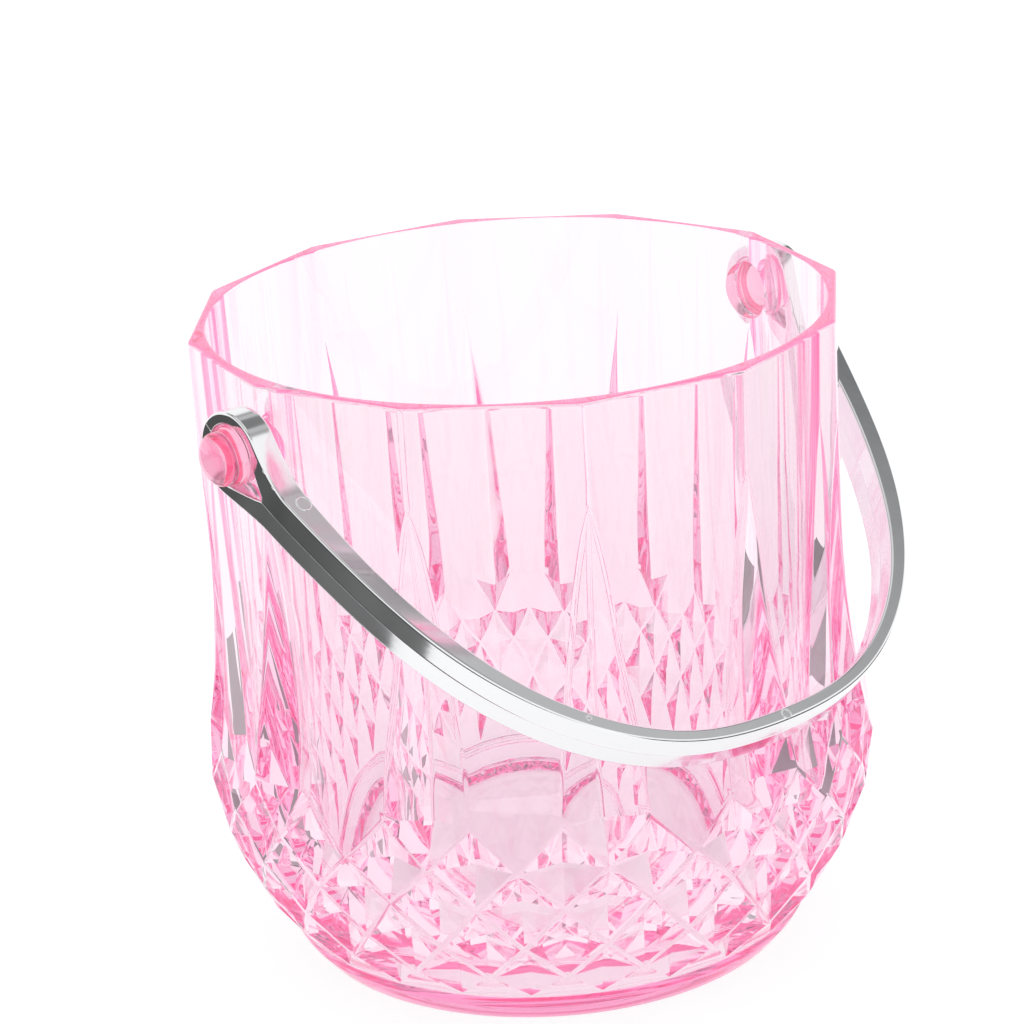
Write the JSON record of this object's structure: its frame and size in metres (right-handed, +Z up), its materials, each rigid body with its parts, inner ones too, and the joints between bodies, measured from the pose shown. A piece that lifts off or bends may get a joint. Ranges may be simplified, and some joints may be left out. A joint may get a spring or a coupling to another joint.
{
  "type": "ice bucket",
  "caption": "Clear faceted ice bucket with tapering flutes, a quilted bulge and a round foot, and a chrome-look swinging bail on two round-ended pegs.",
  "frame": {"origin": "centre of the flat underside, on the surface the bucket stands on", "axes": "+Z up; X along the two pivot pegs; the bail hangs on the -Y side"},
  "size_m": [0.1616, 0.1475, 0.1375],
  "materials": {
    "clear_pink": "clear tinted polystyrene, polished",
    "clear_pink_knob": "clear tinted polystyrene, polished",
    "bail_chrome": "bright chrome plate on plastic"
  },
  "bodies": {
    "bucket": {"bucket_body": "clear_pink", "pivot_knob_left": "clear_pink_knob", "pivot_knob_right": "clear_pink_knob"},
    "bail": {"handle_bail": "bail_chrome"}
  },
  "joints": [
    {"name": "bail_swing", "type": "hinge", "parent": "bucket", "child": "bail", "pos_m": [0, 0, 0.1247], "axis": [-1, 0, 0], "range_deg": [0, 260]}
  ]
}
